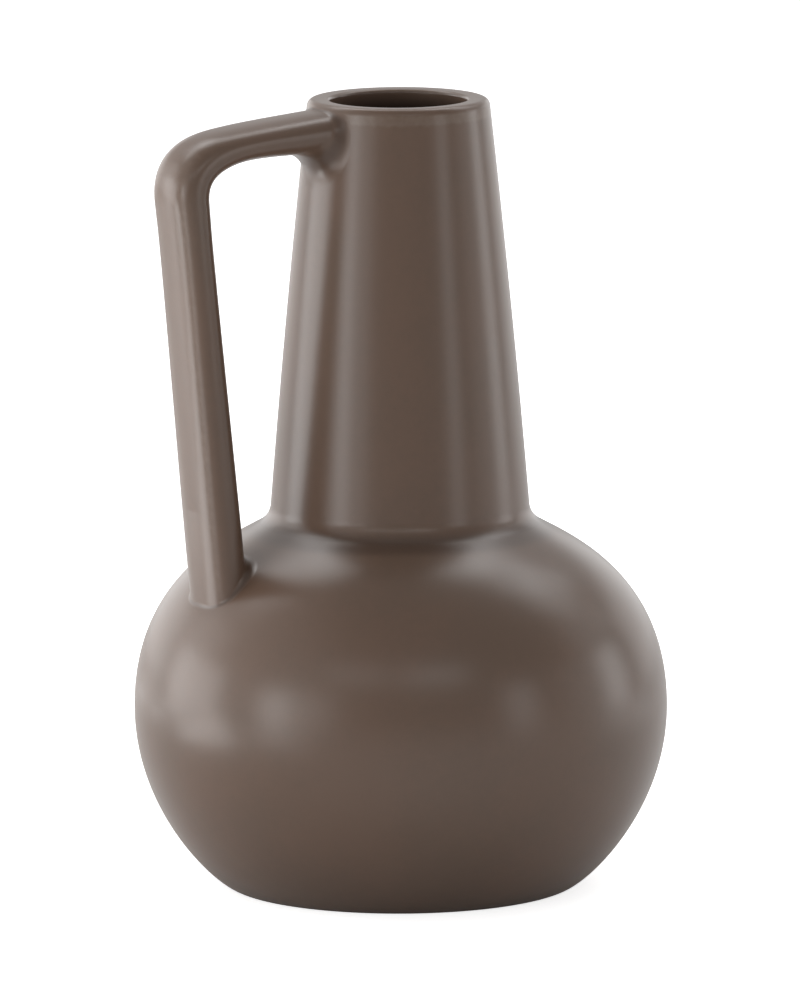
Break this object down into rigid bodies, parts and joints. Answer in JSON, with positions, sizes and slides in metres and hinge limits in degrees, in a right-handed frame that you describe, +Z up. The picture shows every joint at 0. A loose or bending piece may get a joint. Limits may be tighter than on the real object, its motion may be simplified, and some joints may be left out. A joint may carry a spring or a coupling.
{
  "type": "jug vase",
  "caption": "Ceramic jug vase with a round hollow bulb, a tall tapering open neck and a bent strap handle, in satin brown glaze.",
  "frame": {"origin": "on the turning axis of the vase, in the plane that its foot ring stands on", "axes": "+Z up through the neck, -X towards the handle, +Y across the handle, in a right-handed frame"},
  "size_m": [0.1684, 0.1684, 0.25],
  "materials": {
    "satin_glaze": "satin taupe-brown glaze over stoneware, bare clay on the foot ring",
    "glazed_slip": "smoothed slip under the same satin glaze, a little darker where the glaze pools"
  },
  "bodies": {
    "root": {"bulb": "satin_glaze", "neck": "satin_glaze", "handle": "satin_glaze", "neck_slip_joint": "glazed_slip", "handle_top_slip": "glazed_slip", "handle_foot_slip": "glazed_slip"}
  },
  "joints": []
}
